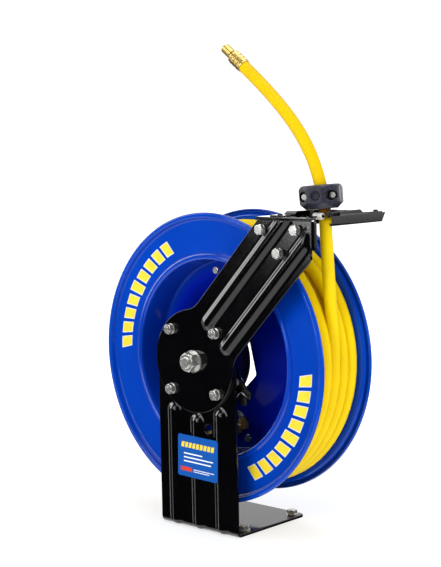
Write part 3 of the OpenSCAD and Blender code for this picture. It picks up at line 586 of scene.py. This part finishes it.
post_out += [(70.5 * math.cos(a), top_z - RB + 69 * math.sin(a)) for a in np.linspace(0.0, math.pi, 40)]
post_out += [(-POST_W / 2, 225 - RB)]
post_out = rounded(post_out[:2], 0) + post_out[2:]
post_out = rounded([post_out[0], post_out[1], post_out[2]], [0, 0, 0])[:0] + post_out
# round the two far corners of the foot
_c = rounded([(-POST_W / 2, -(arcL + foot)), (POST_W / 2, -(arcL + foot)), (POST_W / 2, 100), (-POST_W / 2, 100)], [8, 8, 0, 0], 6)
post_out = _c[:14] + post_out[2:]
ribs = ((-42.0, 11.0, 164.5), (1.5, 11.0, 152.5), (45.0, 11.0, 165.0))
def h_post(u, v):
    z = v + RB
    h = np.zeros(len(u))
    for x, z0, z1 in ribs:
        d = stadium(u, z, (x, z0), (x, z1))
        h = np.maximum(h, press(d, 4.8, 12.0, 4.65) + 0.35 * np.clip(1 - (d / 5.5) ** 2, 0, 1))
    return h
post_holes = [circle2(x, z - RB, 4.3, 16) for x in (-42, 42) for z in (196, 280)] + [circle2(0, 238 - RB, 8.1, 24), circle2(21.5, 145 - RB, 6.5, 26)]
post_holes += [circle2(x, -(arcL + (y - (PA + RB))), 4.4, 20) for x in (-60, 60) for y in (-52, 52)]
pedestal = sheet("pedestal_plate", post_out, post_holes, place_pedestal, 4.0, h_post, MAT["black_paint"], "root", 2.4, 3.0, 0.8,
                 lines_v=(-arcL, -arcL * 2 / 3, -arcL / 3, 0))
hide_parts("pedestal")

# ---- guide arm: flat pattern (x, z - H), with a flange folded back along its right edge
AD = rad(46.5); AW = 49.0; DR = 72.0; RF = 38.0; ATOP = 436.0 - 238.0; AR = 213.0
ad = np.array([math.cos(AD), math.sin(AD)]); an = np.array([-math.sin(AD), math.cos(AD)])
FA = math.sqrt((DR + RF) ** 2 - (AW + RF) ** 2); TH = math.atan2(AW + RF, FA)
onarm = lambda s, w: s * ad + w * an
SU = (ATOP - AW * an[1]) / ad[1]; SL = (AR + AW * an[0]) / ad[0]
def arcpts(c, r, a0, a1, n):
    return [(c[0] + r * math.cos(a0 + (a1 - a0) * k / n), c[1] + r * math.sin(a0 + (a1 - a0) * k / n)) for k in range(n + 1)]
cuC, clC = onarm(FA, AW + RF), onarm(FA, -AW - RF)
FLG = 4.5     # flange length behind the bend
BR = 4.0
lowR = onarm(SL, -AW)
z_lo = lowR[1] + 7.0
xb = AR - BR
arcB = BR * math.pi / 2
arm_out = arcpts((0, 0), DR, AD + TH, AD - TH + 2 * math.pi, 96)
arm_out += arcpts(clC, RF, AD - TH + math.pi, AD + math.pi / 2, 14)
e1 = lowR - ad * 4.0
arm_out += [tuple(e1), (xb + 0.6, lowR[1] + 1.0), (xb + 0.6, z_lo), (xb + arcB + FLG - 2, z_lo + 1), (xb + arcB + FLG, z_lo + 3), (xb + arcB + FLG, ATOP - 2.5), (xb + arcB + FLG - 2, ATOP - 0.5), (xb + 0.6, ATOP)]
arm_out += [tuple(onarm(SU, AW))]
arm_out += arcpts(cuC, RF, AD - math.pi / 2, AD + TH - math.pi, 14)
def place_arm(u, v):
    P = np.zeros((len(u), 3)); Nn = np.zeros((len(u), 3))
    fl = u <= xb
    P[fl] = np.stack([u[fl], np.full(fl.sum(), PB), v[fl] + 238.0], 1); Nn[fl] = (0, -1, 0)
    bd = (u > xb) & (u < xb + arcB)
    a = (u[bd] - xb) / BR
    P[bd] = np.stack([xb + BR * np.sin(a), PB + BR - BR * np.cos(a), v[bd] + 238.0], 1)
    Nn[bd] = np.stack([np.sin(a), -np.cos(a), np.zeros(bd.sum())], 1)
    fg = u >= xb + arcB
    P[fg] = np.stack([np.full(fg.sum(), AR), PB + BR + (u[fg] - xb - arcB), v[fg] + 238.0], 1); Nn[fg] = (1, 0, 0)
    return P, Nn
def h_arm(u, v):
    d1 = stadium(u, v, onarm(60, 17), onarm(330, 17))
    d2 = stadium(u, v, onarm(60, -28), onarm(330, -28))
    h = np.maximum(press(d1, 4.6, 10.4, 4.8), press(d2, 4.6, 10.0, 4.8))
    h *= smooth01((xb - 1.5 - u) / 6.0)
    return h
arm_holes = [circle2(x, z, 4.3, 16) for x in (-42, 42) for z in (-42, 42)] + [circle2(0, 0, 8.1, 24)] + [circle2(x, z - 238, 4.3, 16) for x, z in ((127.7, 423.5), (185.8, 424), (157, 393.4))]
arm = sheet("guide_arm_plate", arm_out, arm_holes, place_arm, 4.0, h_arm, MAT["black_paint"], "root", 2.4, 3.0, 0.8,
            lines_u=(xb, xb + arcB / 3, xb + 2 * arcB / 3, xb + arcB))
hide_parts("guide_arm")

# ------------------------------------------------------------------ spool halves
def arc2(cx, cy, r, a0, a1, n):
    return [(cx + r * math.cos(rad(a0 + (a1 - a0) * k / n)), cy + r * math.sin(rad(a0 + (a1 - a0) * k / n))) for k in range(n + 1)]
FR, ST = 203.0, 1.6
prof = arc2(FR - 4, -51.3, 3.2, 410, 180, 22) + arc2(FR - 12.5, -50.8, 5, 0, 90, 8) + \
    [(FR - 30 + 6, -45.8), (FR - 36, -45.75), (160, -45.75), (150, -45.8)] + arc2(141.9, -45.2, 4.1, -12, -180, 18) + \
    [(137.6, -40), (137.3, -25)] + arc2(130.8, -6.85, 6, 0, 90, 8) + [(122, -0.85), (115, -0.85), (113.2, -1.25), (111.5, -2.67)] + \
    [(100, -11.35), (90, -18.9), (79, -27.2), (76.5, -28.8), (73.5, -29.3)]
def smooth_line(P, it=1):
    return P
def spool_half(name, far):
    c = np.array(prof)
    t_ = np.gradient(c, axis=0); t_ /= np.linalg.norm(t_, axis=1)[:, None]
    nrm = np.stack([-t_[:, 1], t_[:, 0]], 1)
    A = c + nrm * ST / 2; B = c - nrm * ST / 2
    NS = 288
    phi = rad(43.8) + 2 * np.pi * np.arange(NS) / NS
    ap = 61.2
    dphi = (np.degrees(phi) - 13.8 + 30.0) % 60.0 - 30.0
    rin = ap / np.cos(np.radians(dphi))
    rin = np.minimum(rin, 69.6)
    steps = [0.2, 0.6, 1.0]
    def ringset(L):
        rows = [np.stack([np.full(NS, p[0]), np.full(NS, p[1])], 1) for p in L]
        last = L[-1]
        for s in steps:
            rr = last[0] + (rin - last[0]) * s
            rows.append(np.stack([rr, np.full(NS, last[1])], 1))
        return rows
    rows = ringset(A) + ringset(B)[::-1]
    M_ = len(rows)
    vs = []
    for R in rows:
        yy = -R[:, 1] if far else R[:, 1]
        vs.append(np.stack([R[:, 0] * np.cos(phi), yy, H / MM + R[:, 0] * np.sin(phi)], 1))
    vs = np.vstack(vs) * MM
    faces = []
    for i in range(M_):
        j = (i + 1) % M_
        for k in range(NS):
            l = (k + 1) % NS
            f = (i * NS + k, i * NS + l, j * NS + l, j * NS + k)
            faces.append(f if far else f[::-1])
    ob = link(name, vs, faces, MAT["blue_paint"], "spool")
    bm = bmesh.new(); bm.from_mesh(ob.data); bmesh.ops.recalc_face_normals(bm, faces=bm.faces); bm.to_mesh(ob.data); bm.free()
    add_bevel(ob, 0.0005, 2, 50.0)
    return ob
near = spool_half("spool_near_shell", False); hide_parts("spool_near_half")
far = spool_half("spool_far_shell", True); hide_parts("spool_far_half")

# ------------------------------------------------------------------ CAD nodes that stay
small = 0.0003
for n_, m_, b_ in [("arm_bolts", "zinc", 0.0003), ("arm_nuts", "zinc", 0.0003), ("main_shaft", "zinc", 0.0003), ("shaft_washer", "zinc", 0.0003),
                   ("shaft_nut", "zinc", 0.0004), ("shaft_collar", "zinc", 0.0003), ("foot_bolts", "zinc", 0.0003), ("foot_washers", "zinc", 0.0003),
                   ("guide_bracket", "black_paint", 0.0006), ("bracket_bolts", "zinc", 0.0003), ("bracket_nuts", "zinc", 0.0003),
                   ("roller_cover", "black_paint", 0.0004), ("cover_plate_screws", "dark_steel", 0.0002), ("roller_cage", "black_paint", 0.0005),
                   # the front roller takes the pale nylon, partly a painted highlight; the other rollers are black
                   # nylon
                   ("roller_pins", "dark_steel", 0.0002), ("roller_left", "black_nylon", 0.0002), ("roller_right", "black_nylon", 0.0002), ("roller_front", "nylon", 0.0002),
                   ("roller_back", "black_nylon", 0.0002), ("pawl", "dark_steel", 0.0004), ("pawl_stud", "zinc", 0.0002), ("pawl_spacer", "zinc", 0.0002),
                   ("pawl_nut", "zinc", 0.0003), ("spring_post", "zinc", 0.0), ("web_bolts", "zinc", 0.0003), ("web_nuts", "zinc", 0.0003),
                   ("spring_canister", "black_paint", 0.0006), ("canister_cover", "black_paint", 0.0005), ("cover_screws", "zinc", 0.0003), ("ratchet_wheel", "dark_steel", 0.0003),
                   # the swivel body and outlet elbow take the darker brass copy, a painted shade
                   ("power_spring", "spring_steel", 0.0), ("front_bush", "bronze", 0.0002), ("rear_bush", "bronze", 0.0002), ("swivel_body", "brass_in_painted_shade", 0.0003),
                   ("swivel_seals", "seal_rubber", 0.0), ("swivel_clip", "spring_steel", 0.0), ("outlet_pipe", "zinc", 0.0002), ("outlet_elbow", "brass_in_painted_shade", 0.0003),
                   ("hose_inner_end", "hose_rubber", 0.0), ("stopper_front", "black_plastic", 0.0008), ("stopper_rear", "black_plastic", 0.0008), ("stopper_screws", "zinc", 0.0003),
                   ("hose_ferrule", "brass", 0.0003), ("hose_nipple", "brass", 0.0003), ("data_plate", "blue_paint", 0.0002)]:
    dress(n_, MAT[m_], b_)

# ------------------------------------------------------------------ the latch's wire spring, with a hooked end
_w = [(86.4, -65.6, 197.0), (85.9, -70.0, 197.0), (85.3, -71.6, 197.1)]
_w += [(84.4 - 17.6 * t, -72.2, 197.4 - 7 * t + 7 * math.sin(math.pi * t)) for t in np.linspace(0, 1, 11)]
_wv, _wf = tube_mesh(np.array(_w) * MM, 0.9 * MM, 10)
_me = bpy.data.meshes.new("latch_spring")
_me.from_pydata([tuple(map(float, v)) for v in _wv], [], [tuple(map(int, f)) for f in _wf])
_me.update()
_me.polygons.foreach_set("use_smooth", [True] * len(_me.polygons))
latch_spring = bpy.data.objects.new("latch_spring", _me)
scene.collection.objects.link(latch_spring)
_me.materials.append(MAT["spring_steel"])
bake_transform(latch_spring)
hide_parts("pawl_spring")

# ------------------------------------------------------------------ graphics: plain bars, no lettering
def flat_mat(name, lo, hi, rough=0.3):
    mat, nt, b = new_mat(name)
    c = obj_coord(nt)
    nt.links.new(ramp(nt, noise(nt, c, 70.0, 4.0), [(0.3, lo), (0.7, hi)]), b.inputs["Base Color"])
    nt.links.new(maprange(nt, noise(nt, c, 300.0, 3.0), 0.3, 0.7, rough * 0.8, rough * 1.3), b.inputs["Roughness"])
    b.inputs["Coat Weight"].default_value = 0.4
    return mat
INK_Y = flat_mat("yellow_ink", (0.86, 0.62, 0.02), (0.93, 0.70, 0.03))
INK_P = flat_mat("pale_ink", (0.62, 0.66, 0.70), (0.72, 0.75, 0.78))
INK_W = flat_mat("white_ink", (0.80, 0.82, 0.86), (0.90, 0.91, 0.93))
INK_R = flat_mat("red_ink", (0.60, 0.035, 0.02), (0.70, 0.05, 0.03))
LBL = flat_mat("label_blue", (0.001, 0.072, 0.34), (0.002, 0.088, 0.40), 0.5)
_lb = next(n for n in LBL.node_tree.nodes if n.type == "BSDF_PRINCIPLED")
_lb.inputs["Coat Weight"].default_value = 0.0
_lb.inputs["Specular IOR Level"].default_value = 0.12

def slab(name, loops, to3, off, thick, mat, body):
    """thin raised film: convex loops of (u, v) carried by to3 onto the surface"""
    verts, faces = [], []
    for L in loops:
        s0 = len(verts); n = len(L)
        verts += [to3(u, v, off) for u, v in L] + [to3(u, v, off - thick) for u, v in L]
        faces.append(tuple(range(s0, s0 + n))); faces.append(tuple(range(s0 + 2 * n - 1, s0 + n - 1, -1)))
        for i in range(n):
            a, b = s0 + i, s0 + (i + 1) % n
            faces.append((a, a + n, b + n, b))
    ob = link(name, verts, faces, mat, body, smooth=False)
    bm = bmesh.new(); bm.from_mesh(ob.data); bmesh.ops.recalc_face_normals(bm, faces=bm.faces); bm.to_mesh(ob.data); bm.free()
    return ob

def on_flange(a, r_, off):
    return (r_ * MM * math.cos(rad(a)), (-46.6 - off) * MM, H + r_ * MM * math.sin(rad(a)))
def bar(a0, a1, r0, r1, slant, n=5):
    top = [(a0 + (a1 - a0) * k / n + slant, r1) for k in range(n + 1)]
    bot = [(a1 - (a1 - a0) * k / n - slant, r0) for k in range(n + 1)]
    return top + bot
bars, pales = [], []
for start, sgn in ((179.0, -1), (-3.0, -1)):
    for k in range(9):
        a0 = start + sgn * k * 7.2
        a1 = a0 + sgn * 4.6
        tall = 2.0 if k == 4 else 0.0
        bars.append(bar(a0, a1, 160 - tall, 178.5 + tall, -0.9 * sgn))
        pales.append(bar(a0 - sgn * 0.45, a1 + sgn * 0.45, 158.8 - tall, 179.7 + tall, -0.9 * sgn))
slab("flange_bars_edge", pales, on_flange, 0.10, 0.09, INK_P, "spool")
slab("flange_bars", bars, on_flange, 0.18, 0.07, INK_Y, "spool")

LC = np.array([5.5, 103.5]); LT = rad(-1.5)
def on_label(u, v, off):
    x = LC[0] + u * math.cos(LT) - v * math.sin(LT); z = LC[1] + u * math.sin(LT) + v * math.cos(LT)
    return (x * MM, (-84.82 - off) * MM, z * MM)
def rect(u0, u1, v0, v1, k=0.0):
    return [(u0 - k, v0), (u1 - k, v0), (u1 + k, v1), (u0 + k, v1)]
yb = [rect(-30.5 + 7.0 * i, -25.3 + 7.0 * i, 12.0, 19.5, 0.8) for i in range(9)]
slab("label_bars", yb, on_label, 0.06, 0.05, INK_Y, "root")
wl = [rect(-26, 9, 2.6, 4.4), rect(-26, 29, -2.9, -1.1), rect(-26, 25, -8.4, -6.6), rect(-7.5, 31, -18.4, -17.4), rect(-7.5, 22, -21.2, -20.2)]
slab("label_lines", wl, on_label, 0.06, 0.05, INK_W, "root")
slab("label_block", [rect(-32, -10.5, -21.6, -15.8)], on_label, 0.06, 0.05, INK_R, "root")
NODES["data_plate"].data.materials.clear()
NODES["data_plate"].data.materials.append(LBL)

# ------------------------------------------------------------------ floor, light, world
fl_mat, nt, b = new_mat("glowing_pale_floor")
c = obj_coord(nt)
nt.links.new(ramp(nt, noise(nt, c, 3.0, 3.0), [(0.3, (0.485, 0.495, 0.515)), (0.7, (0.505, 0.515, 0.535))]), b.inputs["Base Color"])
b.inputs["Roughness"].default_value = 0.9
b.inputs["Specular IOR Level"].default_value = 0.0
# painted light: the floor glows by its own emission, weaker near the reel and stronger far off, so it reads white and
# its cast shadow is lightened
b.inputs["Emission Color"].default_value = (1, 1, 1, 1)
ln = nt.nodes.new("ShaderNodeVectorMath"); ln.operation = "LENGTH"
nt.links.new(c, ln.inputs[0])
nt.links.new(maprange(nt, ln.outputs["Value"], 0.30, 1.1, 0.60, 1.05), b.inputs["Emission Strength"])
bpy.ops.mesh.primitive_grid_add(x_subdivisions=8, y_subdivisions=8, size=60.0, location=(0, 0, -0.0002))
floor = bpy.context.object
floor.name = "floor"
floor.data.materials.append(fl_mat)
floor.visible_glossy = False
floor.visible_transmission = False

def area(name, loc, target, size, power, size_y=None, color=(1, 1, 1), glossy=False):
    d = bpy.data.lights.new(name, "AREA")
    d.shape = "RECTANGLE"; d.size = size; d.size_y = size_y or size
    d.energy = power; d.color = color
    o = bpy.data.objects.new(name, d)
    scene.collection.objects.link(o)
    o.location = loc
    o.rotation_mode = "QUATERNION"
    o.rotation_quaternion = (Vector(target) - Vector(loc)).to_track_quat("-Z", "Y")
    o.visible_glossy = glossy
    return o
area("key", (0.2, -3.0, 1.2), (0, 0, 0.25), 1.6, 46.0, 1.2)
area("side", (2.9, -0.6, 0.8), (0, 0, 0.25), 1.2, 30.0, 1.4)
area("top", (0.1, 0.3, 3.6), (0, 0, 0.2), 3.2, 62.0)

w = bpy.data.worlds.new("studio"); scene.world = w; w.use_nodes = True
wt = w.node_tree
bg = next(n for n in wt.nodes if n.type == "BACKGROUND")
tc = wt.nodes.new("ShaderNodeTexCoord")
sx = wt.nodes.new("ShaderNodeSeparateXYZ"); wt.links.new(tc.outputs["Generated"], sx.inputs[0])
def mth(op, a, b_=None, c_=None):
    n = wt.nodes.new("ShaderNodeMath"); n.operation = op
    for k, v in enumerate((a, b_, c_)):
        if v is None: continue
        if isinstance(v, (int, float)): n.inputs[k].default_value = v
        else: wt.links.new(v, n.inputs[k])
    return n.outputs[0]
def step(val, a, b_):
    n = wt.nodes.new("ShaderNodeMapRange"); n.interpolation_type = "SMOOTHSTEP"
    n.inputs["From Min"].default_value, n.inputs["From Max"].default_value = a, b_
    n.inputs["To Min"].default_value, n.inputs["To Max"].default_value = 0.0, 1.0
    wt.links.new(val, n.inputs["Value"])
    return n.outputs["Result"]
def mul(*v):
    o = v[0]
    for q in v[1:]:
        o = mth("MULTIPLY", o, q)
    return o
inv = lambda v: mth("SUBTRACT", 1.0, v)
azn = mth("MULTIPLY", mth("ARCTAN2", mth("MULTIPLY", sx.outputs[0], -1.0), mth("MULTIPLY", sx.outputs[1], -1.0)), 180 / math.pi)   # 0 = from -Y, + towards -X
eln = mth("MULTIPLY", mth("ARCSINE", sx.outputs[2]), 180 / math.pi)
boxes = [
    # front left softbox, its lower edge just under the horizon: grey sheen on the upper part of the arm
    mul(step(eln, -5.6, -3.4), step(azn, 28, 34), inv(step(azn, 38.6, 41.2)), inv(step(eln, 16, 40)), 3.8),
    # left panel for the flange's rim and the hardware
    mul(step(eln, -5, 2), step(azn, 60, 66), inv(step(azn, 84, 92)), inv(step(eln, 42, 56)), 3.6),
    # dim upright strip low down: the band along the crowns of the post's ribs
    mul(step(eln, -34, -28), inv(step(eln, -7.5, -6)), step(azn, 57, 59), inv(step(azn, 66, 70)), 1.8),
    # narrow strip straight ahead for the flanks of the ribs
    mul(step(eln, -5, -1), inv(step(eln, 30, 50)), step(azn, -8, 0), inv(step(azn, 8, 16)), 1.8),
    # a bright thin tube beside it: line highlights on folds, threads and edges
    mul(step(eln, -6, -3), inv(step(eln, 30, 45)), step(azn, 17, 18.5), inv(step(azn, 21.5, 23)), 10.0),
    # light bounced up from the pale floor
    mul(inv(step(eln, -42, -27)), 1.0),
    # bright backdrop
    mul(step(sx.outputs[1], 0.15, 0.45), step(sx.outputs[2], -0.12, -0.04), 0.75),
    mul(step(sx.outputs[1], 0.15, 0.45), step(eln, -1.5, 0.5), inv(step(eln, 7, 12)), 1.3),
    # overhead panel
    mul(step(eln, 50, 64), 2.2),
]
tot = 0.004
for bx in boxes:
    tot = mth("ADD", bx, tot)
lp = wt.nodes.new("ShaderNodeLightPath")
def mixv(f, a, b_):
    return mth("ADD", mth("MULTIPLY", inv(f), a), mth("MULTIPLY", f, b_))
val = mixv(lp.outputs["Is Glossy Ray"], 0.50, tot)
val = mixv(lp.outputs["Is Camera Ray"], val, 1.0)
comb = wt.nodes.new("ShaderNodeCombineColor")
for k in range(3):
    wt.links.new(val, comb.inputs[k])
wt.links.new(comb.outputs[0], bg.inputs["Color"])
bg.inputs["Strength"].default_value = 1.0

scene.view_settings.view_transform = "Standard"
scene.view_settings.look = "None"
scene.cycles.use_denoising = True
